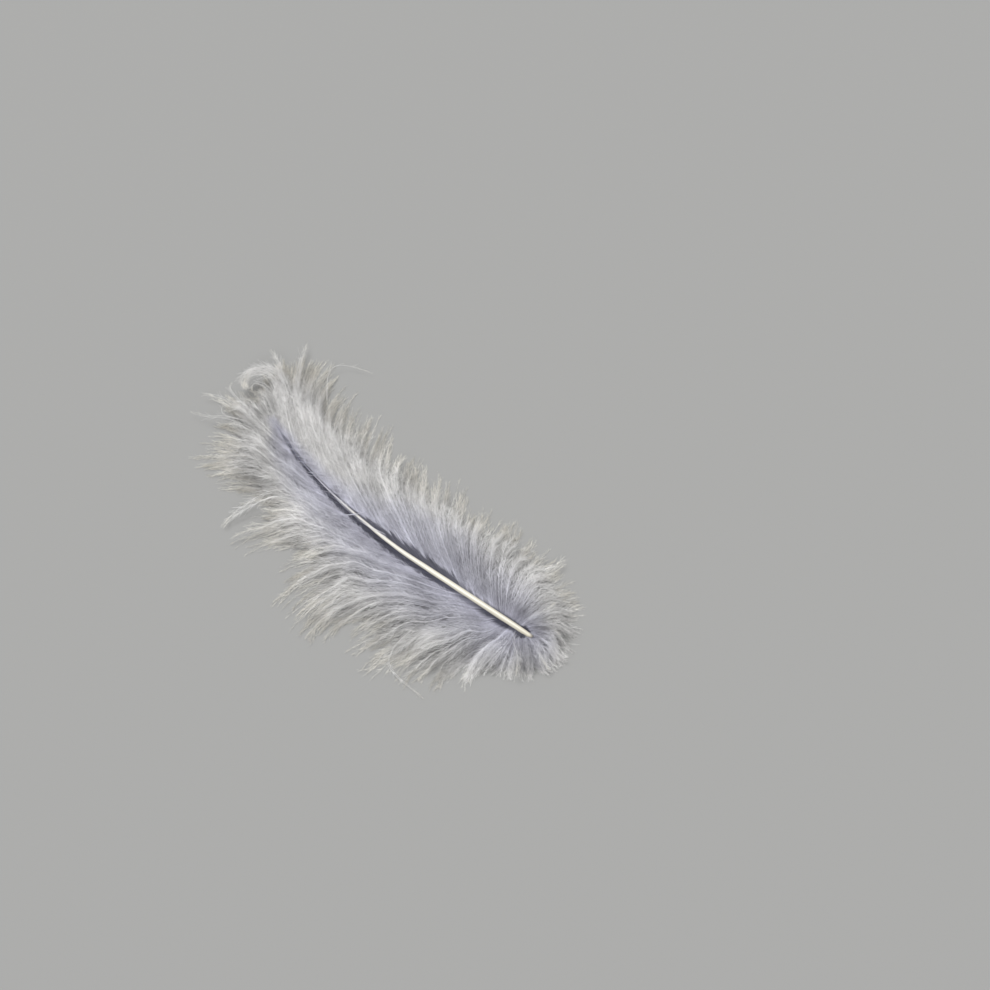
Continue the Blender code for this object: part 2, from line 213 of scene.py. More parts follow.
# Barbs that lie apart from the rest: the points they follow, how many, how far apart (mm), how fluffy,
# and how light.
STRAYS = (
    # the curl at the tip
    (((-9.6, 97, 4.2), (-5.2, 107, 5.2), (-1.2, 116, 6.2), (0.6, 122.0, 6.2), (-0.6, 126.4, 5.7),
      (-3.2, 128.5, 5.2), (-6.2, 128.6, 4.8), (-8.3, 127.1, 4.6), (-8.9, 125.3, 4.6)), 16, 1.6, 0.55, 0.70),
    (((-9.0, 104, 4.4), (-6.4, 112, 5.2), (-4.6, 118.5, 5.4), (-4.5, 122.4, 5.0), (-5.8, 124.6, 4.7),
      (-7.3, 124.4, 4.5), (-7.9, 123.0, 4.5)), 4, 0.6, 0.3, 0.50),
    # a small loop beside it
    (((-13.0, 106, 4.4), (-16.0, 113.5, 4.8), (-19.0, 118.2, 4.9), (-20.2, 121.0, 4.8), (-19.2, 123.2, 4.7),
      (-17.2, 123.2, 4.6), (-15.8, 121.2, 4.4), (-15.2, 118.8, 4.2)), 2, 0.3, 0.35, 0.48),
    # dim barbs under the curl, darker as painted shade
    (((-10.6, 106, 3.8), (-11.6, 113, 3.9), (-12.0, 120, 3.2), (-11.0, 127.0, 2.2)), 7, 1.7, 0.45, 0.20),
    (((-9.0, 106, 3.8), (-7.8, 113, 3.9), (-7.0, 119, 3.2), (-8.0, 125.0, 2.2)), 5, 1.3, 0.45, 0.20),
    # long barbs at the tip
    (((-12.0, 100, 4.4), (-13.2, 112, 5.0), (-15.0, 122, 4.6), (-17.2, 129, 3.4), (-19.8, 133.0, 2.4)),
     2, 0.9, 0.22, 0.50),
    (((-11.6, 102, 4.4), (-12.2, 114, 4.9), (-13.4, 122.5, 4.6), (-12.6, 128.5, 3.8), (-10.4, 131.0, 3.2)),
     2, 0.6, 0.20, 0.50),
    (((-12.4, 96, 4.4), (-15.6, 110, 5.0), (-19.6, 119.5, 4.0), (-24.0, 125.5, 2.6), (-26.4, 130.4, 1.8)),
     2, 0.8, 0.20, 0.50),
    (((-8.0, 104, 4.4), (0.5, 118, 5.4), (4.6, 126, 4.6), (6.4, 133.0, 3.4)), 3, 0.9, 0.4, 0.70),
    (((-7.0, 102, 4.4), (5.0, 116, 5.0), (12.0, 124, 3.8), (17.0, 128.5, 2.4)), 3, 1.0, 0.4, 0.70),
    # across the shaft
    (((-17.4, 68.4, 6.5), (-14.4, 66.0, 6.0), (-11.9, 64.2, 6.15), (-9.1, 63.3, 6.15), (-6.6, 63.5, 6.7)),
     3, 0.20, 0.08, 0.85),
    (((-10.0, 52.6, 6.0), (-12.2, 60.5, 6.0), (-13.1, 68.8, 6.2), (-13.2, 77.0, 6.5)), 2, 0.20, 0.08, 0.65),
    # over the fan at the quill end
    (((0.8, 4.6, 6.4), (3.2, 4.4, 7.2), (6.6, 3.8, 7.4), (10.0, 3.6, 6.4), (13.0, 4.4, 5.2)),
     3, 0.5, 0.9, 0.78),
    (((0.6, 3.2, 6.4), (3.4, 2.2, 7.2), (6.0, -0.4, 6.6), (7.4, -4.0, 4.6)), 3, 0.6, 0.9, 0.45),
    (((-1.0, 1.2, 6.2), (-0.2, -2.4, 6.8), (-1.6, -6.0, 5.2), (-1.4, -9.6, 2.6)), 3, 0.7, 0.9, 0.70),
    (((-1.6, 2.6, 6.2), (-4.6, 0.6, 6.9), (-6.4, -3.0, 5.4), (-9.4, -5.6, 2.8)), 4, 1.2, 0.9, 0.55),
    # beside the fringe
    (((-22.0, 24.0, 4.0), (-28.5, 24.0, 2.2), (-33.6, 21.4, 1.3), (-34.6, 17.0, 1.1), (-34.0, 12.0, 0.9),
      (-33.2, 6.6, 0.6)), 2, 0.5, 0.25, 0.65),
    (((-21.0, 78.0, 6.8), (-26.0, 86.0, 5.0), (-33.0, 88.8, 3.0), (-38.5, 89.5, 1.9), (-43.0, 88.6, 1.3)),
     4, 1.1, 0.50, 0.75),
    (((7.0, 104.0, 5.8), (13.5, 112.5, 4.0), (18.6, 115.4, 2.6), (22.8, 112.4, 1.8), (26.4, 106.4, 1.2)),
     1, 0.2, 0.2, 0.8),
)
# Where short barbs cross the thin end of the shaft, the points they follow from the middle of the shaft
# there, and how many there are at each place, how far apart, how fluffy and how light.
STITCHES = (75.2, 78.4, 82.6, 84.2, 88.0, 89.4, 92.9, 95.0, 97.9)
STITCH = ((2.4, -3.4, 1.2), (0.7, -0.9, 0.7), (-0.8, 0.9, 0.6), (-2.4, 3.0, 1.0))
STITCH_LOOKS = (2, 0.45, 0.1, 0.5)
# Over the slot the strays don't take its painted shade.
STRAY_SLOT = 0.05       # strays lie over the slot: it is this narrow for them, and so they are light there
STRAY_FLAT = (1.0, 1.0, 0.4)    # strays lie less far apart in height than sideways
STRAY_CLOSES = 0.75     # how far they close up by their tips
STRAY_SLIDES = 0.5      # how far they are shifted lengthways, in steps, either way
STRAY_TONE = 0.05       # how far they differ in how light they are

# ---- The barbules -------------------------------------------------------------------------------------

BARBULES_IN_ALL = 203_000
BARBULES_BY_REACH = ((0.0, 0.55), (0.3, 0.8), (0.6, 1.0), (0.85, 1.05), (1.0, 0.75))
BARBULE_LENGTH = ((0.0, 1.6), (0.25, 2.8), (0.55, 2.9), (0.75, 2.4), (0.9, 1.7), (1.0, 1.0))
BARBULE_ANGLE = ((0.0, 36.0), (0.5, 30.0), (0.8, 24.0), (1.0, 18.0))        # to its barb, in degrees
ANGLE_UNEVEN = 8.0
BARBULE_WIDTH = ((0.0, 0.080), (0.5, 0.075), (1.0, 0.045))
BARBULE_TIP_SHARE = 0.5     # a barbule's width at its tip, as a share of its width
BARBULE_FAN = 0.75          # how far a barbule stands off its barb's side, up or down (radians)
BARBULE_UNEVEN = (0.65, 1.3)    # shares of its length
LONG_BARB = 30.0            # a barb shorter than this has shorter barbules, down to a share
SHORT_BARBULE = 0.6
BARBULE_TONE = 0.05         # how far barbules differ in how light they are
BARBULE_TONES = (0.02, 0.97)
# A barbule hangs down, about this far from straight (radians), if it's rooted nearer to the shaft than a
# share of the slot's width; one that would reach in past a share of it turns to its barb's other side.
# The hanging barbules take the slot's painted shade and hide the floor under it.
HANGS = 0.5
HANGS_WITHIN = (0.88, 1.04)
TURNS_WITHIN = (0.92, 1.12)
# How wide the bare slot beside the shaft is, along the shaft, on either side.
SLOT_LEFT = (
    (0, 0.1), (1, 0.9), (2.5, 1.6), (4.5, 1.4), (14, 1.8), (30, 2.1), (45, 2.5), (65, 2.3), (80, 1.8),
    (84, 1.2), (95, 0.9), (101, 0.5), (105, 0.1),
)
SLOT_RIGHT = (
    (0, 0.1), (1, 0.6), (2.5, 1.1), (4.5, 0.8), (14, 0.8), (24, 0.9), (27, 2.0), (47, 2.7), (50.5, 2.1),
    (58, 1.7), (63, 0.8), (68, 0.3), (80, 0.3), (87, 0.7), (98, 0.7), (104, 0.3), (108, 0.1),
)
# The waves of its edge: how high they are as a share of its width, their turn a mm, and where they start.
SLOT_WAVES = ((0.22, 0.9, 0.0), (0.14, 2.3, 1.0))
# How dark the slot's painted shade is along the shaft.
SLOT_PAINTED_SHADE = (
    (0, 0.95), (4, 0.75), (12, 0.60), (17, 0.38), (25, 0.38), (31, 0.92), (38, 1.0), (76, 1.0), (84, 0.65),
    (94, 0.55), (99, 0.42), (103, 0.22), (106, 0.0), (108, 0.0),
)

# ---- The colours --------------------------------------------------------------------------------------

BAKE_MAP = "OFBake"     # the name under which the export takes over a ready map
# Along the map's U: the slot's painted shade, then lilac down fading to grey-white, then the warmer tips.
SLOT_SHARE = 0.08
LILAC_FROM = 0.125
LILAC_SHARE = 0.50
WARM_FROM = 0.62        # share of a barb's length at which it starts to turn warmer
# How far from the slot the lilac fades out, along the shaft, on either side.
LILAC_LEFT = ((0, 8), (8, 14), (35, 17), (60, 14), (85, 10), (99, 6), (104, 2.5), (108, 1.5))
LILAC_RIGHT = ((0, 8), (8, 14), (35, 17), (50, 14), (64, 9), (80, 5), (100, 2.5), (108, 1.5))
PATCHES = 0.10          # lighter and darker patches of the down
PATCH_PITCH = 8.0
BARBS_LIGHTER = 0.14    # than their barbules
MAP_EDGE = 0.006        # half the width of a barb or barbule on the map
MAP_LENGTH = 0.01       # the least length of a barbule there
U_RANGE = (0.004, 0.996)    # no colour is read nearer to the map's ends and edges
UV_RANGE = (0.001, 0.999)
# Larger lighter and darker places: their middle, half width across and along, and how much lighter.
# They are partly the down's own tone, partly painted shade in hollows and partings and painted highlight on
# the crests.
TONE_AND_PAINTED_SHADING = (
    (0.6, 12, 3.4, 9, -0.38), (2.5, 29, 4.5, 12, -0.30), (12, 27, 6, 10, -0.12), (0.5, 62, 5, 10, -0.12),
    (7.6, 54, 4, 10, 0.03), (0.5, 99, 5, 12, 0.20), (0, 120, 7, 6, -0.30), (-26, 97, 6, 8, -0.30),
    (-14, 27, 5, 9, -0.12), (-27, 25, 6, 8, -0.20), (-30, 58, 5, 10, -0.08), (-17, 60, 5, 12, -0.20),
    (-19, 88, 5, 10, -0.20), (-27, 66, 5, 9, 0.10), (-25, 79, 3.5, 6, 0.10), (-19, 109, 5, 6, -0.20),
    (-16, 100, 3.5, 6, -0.26), (12, 38, 5, 7, 0.25), (4.5, 0.0, 3, 2.5, -0.30), (2.4, 8, 2.4, 5, -0.25),
    (7.6, 4.2, 1.5, 0.9, -0.45), (-17, 120, 5, 6, -0.30), (9, 121, 6, 5, -0.20), (6, 105, 5, 9, -0.22),
    (0, 96, 6, 12, -0.06), (-6.5, -1, 6, 5, -0.18), (-25, 96, 5, 8, -0.08), (-8, 111, 9, 7, -0.26),
    (-10.5, 92, 5, 14, -0.14), (8, 0, 9, 8, -0.18), (-1.5, 35, 3, 4.5, -0.25), (-17, 13, 6, 6, -0.18),
)


def between(stations, at):
    """The values at places along a list of (place, value) stations, on straight runs."""
    stations = np.asarray(stations, float)
    return np.interp(at, stations[:, 0], stations[:, 1])


def ease(share):
    """0 to 1 with a soft start and end."""
    share = np.clip(share, 0.0, 1.0)
    return share * share * (3.0 - 2.0 * share)


def unit(vectors):
    """The vectors at a length of 1."""
    return vectors / np.maximum(np.linalg.norm(vectors, axis=-1, keepdims=True), 1e-9)


def placed(points):
    """Points in mm from the quill end as metres in the part's frame."""
    return (np.asarray(points, float) + (QUILL_AT_X, QUILL_AT_Y, 0.0)) * MM


def shaft_centre(along):
    """The shaft's x and z at places along it, on the part's smooth curve through its stations."""
    stations = np.asarray(SHAFT_LINE)
    along = np.asarray(along, float)
    last = len(stations) - 1
    i = np.clip(np.searchsorted(stations[:, 0], along, side="right") - 1, 0, last - 1)
    before, low = stations[np.maximum(i - 1, 0)], stations[i]
    high, after = stations[i + 1], stations[np.minimum(i + 2, last)]
    step = high[..., 0] - low[..., 0]
    t = (along - low[..., 0]) / step
    made = []
    for column in (1, 2):
        slope_low = (high[..., column] - before[..., column]) / (high[..., 0] - before[..., 0]) * step
        slope_high = (after[..., column] - low[..., column]) / (after[..., 0] - low[..., 0]) * step
        made.append((2 * t**3 - 3 * t**2 + 1) * low[..., column] + (t**3 - 2 * t**2 + t) * slope_low
                    + (3 * t**2 - 2 * t**3) * high[..., column] + (t**3 - t**2) * slope_high)
    return made[0], made[1]


def shaft_turn(along):
    """The shaft's direction as an angle from +Y, positive towards +X."""
    x0, _ = shaft_centre(np.asarray(along) - 1.0)
    x1, _ = shaft_centre(np.asarray(along) + 1.0)
    return np.arctan2(x1 - x0, 2.0)


SHAFT_STOPS = np.arange(0.0, SHAFT_END + 0.5, 1.0)
SHAFT_PLAN = np.stack([shaft_centre(SHAFT_STOPS)[0], SHAFT_STOPS], 1)
POINTS_AT_ONCE = 20_000     # points compared with the shaft in one go


def from_shaft(plan):
    """How far points are from the shaft in plan, where along it they are nearest, and if on its right."""
    flat = plan.reshape(-1, 2)
    nearest = np.concatenate([((part[:, None] - SHAFT_PLAN[None])**2).sum(2).argmin(1)
                              for part in np.array_split(flat, 1 + len(flat) // POINTS_AT_ONCE)])
    distance = np.linalg.norm(flat - SHAFT_PLAN[nearest], axis=1)
    right = flat[:, 0] > SHAFT_PLAN[nearest, 0]
    return tuple(made.reshape(plan.shape[:-1]) for made in (distance, SHAFT_STOPS[nearest], right))


class Swell:
    """Smooth hills and hollows over the plan, mostly between -1 and 1."""

    def __init__(self, pitch):
        turn = RANDOM.uniform(0, 2 * math.pi, SWELL_WAVES)
        pitches = pitch * RANDOM.uniform(*SWELL_PITCHES, SWELL_WAVES)
        self.ways = np.stack([np.cos(turn), np.sin(turn)], 1) * (2 * math.pi / pitches)[:, None]
        self.phases = RANDOM.uniform(0, 2 * math.pi, SWELL_WAVES)

    def at(self, plan):
        return np.cos(plan @ self.ways.T + self.phases).sum(-1) / math.sqrt(len(self.phases))


class Locks:
    """The guides of the down: up the shaft's left side, down its right and back to the first."""

    def __init__(self):
        left = self.vane(-1, LEFT_TIPS, LEFT_ROOTS, LEFT_LEAVES, LEFT_REACHES)
        right = self.vane(1, RIGHT_TIPS, RIGHT_ROOTS, RIGHT_LEAVES, RIGHT_REACHES)
        ring = [np.concatenate([a, b[::-1], a[:1]]) for a, b in zip(left, right)]
        self.handles, self.root_z, self.crest, self.lift = ring
        self.count = len(self.handles) - 1

    def vane(self, side, tips, roots, leaves, reaches):
        """For each lock of one vane: the handles of its curve in plan, and its heights."""
        tips = np.asarray(tips, float)
        numbers = np.arange(len(tips))
        root_along = between(roots, numbers)
        x, root_z = shaft_centre(root_along)
        leave = shaft_turn(root_along) + side * np.radians(between(leaves, numbers))
        point = side * np.radians(tips[:, 2])
        root = np.stack([x, root_along], 1)
        chord = np.linalg.norm(tips[:, :2] - root, axis=1)[:, None]
        reach = between(reaches, numbers)[:, None]
        near = root + reach * chord * np.stack([np.sin(leave), np.cos(leave)], 1)
        far = tips[:, :2] - TIP_REACH * chord * np.stack([np.sin(point), np.cos(point)], 1)
        crest = between(CREST_HEIGHT, root_along) + np.asarray(PUFFS)[numbers % len(PUFFS)]
        lift = np.asarray(LIFTED_TIPS)[numbers % len(LIFTED_TIPS)]
        return np.stack([root, near, far, tips[:, :2]], 1), root_z, crest, lift

    def read(self, values, number):
        """Values at places between the locks."""
        low = np.floor(number).astype(int)
        part = (number - low).reshape(number.shape + (1,) * (values.ndim - 1))
        low = low % self.count
        return values[low] * (1 - part) + values[low + 1] * part

    def plan(self, number, share):
        """Points in plan at shares of the length of the curves at places between the locks."""
        left = 1.0 - share
        weights = np.stack([left**3, 3 * left**2 * share, 3 * left * share**2, share**3], -1)
        return (self.read(self.handles, number) * weights[..., None]).sum(-2)


class Barbs:
    """Barbs as polylines, with what their barbules and colours need to know."""

    def __init__(self, locks, swell):
        self.strands = round(locks.count * STRANDS_A_LOCK)
        self.reach = np.linspace(0.0, 1.0, BARB_STEPS)[None] * np.ones((BARBS_IN_ALL, 1))
        number, strand = self.rooted(locks)
        here, share = self.drawn_together(locks, number, strand)
        plan = locks.plan(here, share)
        plan = self.roughened(plan, self.by_strand(STRAND_SWING, strand)[:, None])
        z, depth = self.heights(locks, swell, plan, number, strand, here, share)
        self.points = np.concatenate([plan, z[..., None]], 2)
        self.tone = self.tones(number, strand, depth)
        self.fluff = between(FLUFF_AT, number)
        self.warmth = between(WARMTH, number)
        for points, many, apart, fluff, light in STRAYS:
            self.add_stray(np.asarray(points, float), many, apart, fluff, light)
        for along in STITCHES:
            x, z = shaft_centre(along)
            self.add_stray(np.array(STITCH) + (x, along, z), *STITCH_LOOKS)
        self.distance, self.along, self.right = from_shaft(self.points[..., :2])
        self.slot = slot_width(self.along, self.right)
        self.slot[BARBS_IN_ALL:] = STRAY_SLOT

    def by_strand(self, spread, strand):
        """A value for each barb that differs from strand to strand."""
        return RANDOM.normal(0.0, spread, self.strands)[strand]

    def rooted(self, locks):
        """Where between the locks each barb is rooted, and the strand it belongs to."""
        places = np.linspace(0.0, locks.count, ROOT_PLACES)
        grown = np.cumsum(between(BARBS_BY_LOCK, places))
        drawn = (np.arange(BARBS_IN_ALL) + RANDOM.uniform(0.0, 1.0, BARBS_IN_ALL)) / BARBS_IN_ALL
        number = np.interp(drawn, (grown - grown[0]) / (grown[-1] - grown[0]), places)
        strand = number * STRANDS_A_LOCK + RANDOM.normal(0.0, STRAND_MIXES, BARBS_IN_ALL)
        return number, np.floor(strand).astype(int) % self.strands

    def drawn_together(self, locks, number, strand):
        """Along each barb, the place between the locks that it follows, and the share of their length."""
        count = len(number)
        middles = np.arange(self.strands) + 0.5 + RANDOM.normal(0.0, STRAND_UNEVEN, self.strands)
        aim = (middles / STRANDS_A_LOCK)[strand]
        length = RANDOM.uniform(*STRAND_LENGTHS, self.strands)[strand]
        length = length * RANDOM.uniform(*BARB_LENGTHS, count)
        length = (1.0 + (length - 1.0) * between(UNEVEN_AT, number)) * between(SHORT_AT, number)
        held_back = RANDOM.uniform(size=count) > between(FULL_LENGTH, number)
        length = np.where(held_back, length * RANDOM.uniform(*HELD_BACK, count), length)
        share = self.reach * length[:, None]
        together = ease((share - PARTS_AT) / (1.0 - PARTS_AT))
        aim = number + (aim - number + locks.count / 2) % locks.count - locks.count / 2
        drawn = between(DRAWN_AT, number)
        clump = RANDOM.uniform(*CLUMP, count) * drawn
        here = number[:, None] + ((aim - number) * clump)[:, None] * together
        lock_clump = RANDOM.uniform(*LOCK_CLUMP, locks.count + 2)[np.round(number).astype(int)] * drawn
        return here + (np.round(here) - here) * lock_clump[:, None] * together, share

    def heights(self, locks, swell, plan, number, strand, here, share):
        """How high the barbs lie, and how deep in the down each of them is, from 0 to 1."""
        distance, _, _ = from_shaft(plan)
        root_z, crest, lift = (locks.read(v, here) for v in (locks.root_z, locks.crest, locks.lift))
        arched = root_z + (crest - root_z) * ease(distance / CREST_AWAY)
        fall = ease((share - FALL[0]) / (FALL[1] - FALL[0]))
        seam = 1.0 - np.abs(2.0 * (here - np.floor(here)) - 1.0)
        relief = ease(share / RELIEF_STARTS) * (1.0 - RELIEF_FADES * fall)
        tip = np.maximum(lift + self.by_strand(TIP_RISE, strand)[:, None], 0.0) + TIP_RISE
        top = arched + (tip - arched) * fall
        top = top + (RIDGE * (1 - seam) - GROOVE * seam) * relief
        top = top + SWELL * swell.at(plan) * ease(distance / SWELL_AWAY) * (1.0 - SWELL_FADES * fall)
        rise = self.by_strand(STRAND_RISE, strand)
        parting = np.exp(-((number - PARTING) / PARTING_WIDE)**2)
        top = top + (rise - PARTING_DEEP * parting)[:, None] * ease(share / RISE_STARTS)
        top = top - DOWN_SINKS * ease(distance / SINKS_FROM)
        depth = RANDOM.uniform(0.0, 1.0, len(number))**TOP_HEAVY
        fades = DEPTH_FADES * ease((share - DEPTH_FADES_FROM) / (1.0 - DEPTH_FADES_FROM))
        under = DOWN_DEPTH * ease((share - DEPTH_STARTS[0]) / DEPTH_STARTS[1]) * (1.0 - fades)
        under = under * ease(distance / DEPTH_AWAY)
        hover = RANDOM.normal(0.0, HOVER, len(number))[:, None] * ease(share / HOVER_STARTS)
        lowest = LOWEST + LOWEST_SPREAD * depth[:, None]
        return np.maximum(top - depth[:, None] * under + hover, lowest), depth

    def tones(self, number, strand, depth):
        """How light each barb is, from 0 to 1, with painted shade on the low barbs and painted light and
        shade on the parting's banks.
        """
        tone = TONE + self.by_strand(STRAND_TONE, strand) + RANDOM.normal(0.0, BARB_TONE, len(number))
        # the banks' painted light and painted shade
        for away, lighter in PARTING_BANKS:
            tone = tone + lighter * np.exp(-((number - PARTING - away) / BANK_WIDE)**2)
        return np.clip(tone - LOW_PAINTED_SHADE * (depth - LOW_FROM), *TONE_RANGE)

    def add_stray(self, points, many, apart, fluff, light):
        """Barbs along a smooth curve through the points, a little apart, that close up towards its end."""
        at = np.linspace(0.0, len(points) - 1.0, BARB_STEPS)
        low = np.minimum(at.astype(int), len(points) - 2)
        t = (at - low)[:, None]
        before, after = points[np.maximum(low - 1, 0)], points[np.minimum(low + 2, len(points) - 1)]
        a, b = points[low], points[low + 1]
        curve = 0.5 * (2 * a + (b - before) * t + (2 * before - 5 * a + 4 * b - after) * t**2
                       + (3 * a - before - 3 * b + after) * t**3)
        reach = np.linspace(0.0, 1.0, BARB_STEPS)[None, :, None]
        shift = RANDOM.normal(0.0, apart, (many, 1, 3)) * STRAY_FLAT
        step = np.gradient(curve, axis=0)[None]
        slide = RANDOM.uniform(-STRAY_SLIDES, STRAY_SLIDES, (many, 1, 1)) * step
        made = curve[None] + shift * (1.0 - STRAY_CLOSES * reach) + slide
        made[..., 2] = np.maximum(made[..., 2], LOWEST)
        self.points = np.concatenate([self.points, made])
        self.reach = np.concatenate([self.reach, np.repeat(reach[..., 0], many, 0)])
        self.tone = np.concatenate([self.tone, light + RANDOM.normal(0.0, STRAY_TONE, many)])
        self.fluff = np.concatenate([self.fluff, np.full(many, fluff)])
        self.warmth = np.concatenate([self.warmth, np.ones(many)])

    def roughened(self, plan, swing):
        """Barbs that wave a little, swing aside with their strand and scatter towards their tips."""
        count = len(plan)
        along = unit(np.gradient(plan, axis=1))
        across = np.stack([along[..., 1], -along[..., 0]], 2)
        phase = RANDOM.uniform(0, 2 * math.pi, (count, 1))
        turns = RANDOM.uniform(*WAVE_TURNS, (count, 1))
        wave = WAVE * np.sin(turns * self.reach + phase) * self.reach
        wave = wave * RANDOM.uniform(*WAVE_UNEVEN, (count, 1))
        scatter = (RANDOM.normal(0.0, TIP_SCATTER, (count, 1)) + swing) * self.reach**SCATTER_LATE
        return plan + across * (wave + scatter)[..., None]


def tone_and_painted_shading(plan):
    """How much lighter the down is at places in plan: its own tone and painted light and shade."""
    return sum(lighter * np.exp(-((plan[..., 0] - x) / across)**2 - ((plan[..., 1] - y) / along)**2)
               for x, y, across, along, lighter in TONE_AND_PAINTED_SHADING)


def slot_width(along, right):
    """How far from the shaft's centre line the bare slot reaches."""
    uneven = 1.0
    for high, turn, start in SLOT_WAVES:
        uneven = uneven + high * np.sin(along * turn + start)
    return between(SHAFT_RADIUS, along) + uneven * np.where(
        right, between(SLOT_RIGHT, along), between(SLOT_LEFT, along))


def map_place(distance, along, right, slot, reach):
    """Where along the colour map's U a place on the down reads its colour, from 0 to 1."""
    lilac = np.where(right, between(LILAC_RIGHT, along), between(LILAC_LEFT, along))
    outward = np.clip((distance - slot) / lilac, 0.0, 1.0)
    outside = (LILAC_FROM + (LILAC_SHARE - LILAC_FROM) * outward
               + (1.0 - LILAC_SHARE) * outward * ease((reach - WARM_FROM) / (1.0 - WARM_FROM)))
    # Inside the slot the colour runs towards the slot's painted shade.
    inside = LILAC_FROM - (LILAC_FROM - SLOT_SHARE * distance / slot) * between(SLOT_PAINTED_SHADE, along)
    return np.clip(np.where(distance < slot, inside, outside), *U_RANGE)


def mesh_piece(name, points, triangles, places, material, smooth):
    """A triangle mesh as a new object in the part's frame, with its colour map."""
    mesh = bpy.data.meshes.new(name)
    mesh.vertices.add(len(points))
    mesh.vertices.foreach_set("co", placed(points).astype(np.float32).ravel())
    mesh.loops.add(triangles.size)
    mesh.loops.foreach_set("vertex_index", triangles.astype(np.int32).ravel())
    mesh.polygons.add(len(triangles))
    mesh.polygons.foreach_set("loop_start", np.arange(0, triangles.size, 3, dtype=np.int32))
    mesh.polygons.foreach_set("use_smooth", np.full(len(triangles), smooth))
    mesh.update(calc_edges=True)
    layer = mesh.uv_layers.new(name=BAKE_MAP)
    layer.uv.foreach_set("vector", places[triangles.ravel()].astype(np.float32).ravel())
    mesh.materials.append(material)
    mesh.validate()
    piece = bpy.data.objects.new(name, mesh)
    bpy.context.scene.collection.objects.link(piece)
    return piece


def tubes(points, radius, sides):
    """Closed tubes along polylines (strands, steps, 3), each with a cap at both ends."""
    strands, steps, _ = points.shape
    along = unit(np.gradient(points, axis=1))
    across = unit(np.cross(along, (0.0, 0.0, 1.0)))
    up = np.cross(across, along)
    turn = np.linspace(0, 2 * math.pi, sides, endpoint=False) + math.pi / 2
    ring = (across[:, :, None] * np.cos(turn)[:, None] + up[:, :, None] * np.sin(turn)[:, None])
    ring = points[:, :, None] + ring * radius[..., None, None]
    vertices = ring.reshape(-1, 3)
    start = (np.arange(strands) * steps * sides)[:, None, None]
    step = (np.arange(steps - 1) * sides)[None, :, None]
    corner = np.arange(sides)[None, None, :]
    after = (corner + 1) % sides
    a, b = start + step + corner, start + step + after
    c, d = b + sides, a + sides
    walls = np.concatenate([np.stack([a, b, c], 3).reshape(-1, 3), np.stack([a, c, d], 3).reshape(-1, 3)])
    fan = np.arange(1, sides - 1)
    first = np.arange(strands)[:, None] * steps * sides
    last = first + (steps - 1) * sides
    caps = [np.stack([first + 0 * fan, first + fan + 1, first + fan], 2).reshape(-1, 3),
            np.stack([last + 0 * fan, last + fan, last + fan + 1], 2).reshape(-1, 3)]
    return vertices, np.concatenate([walls, *caps])


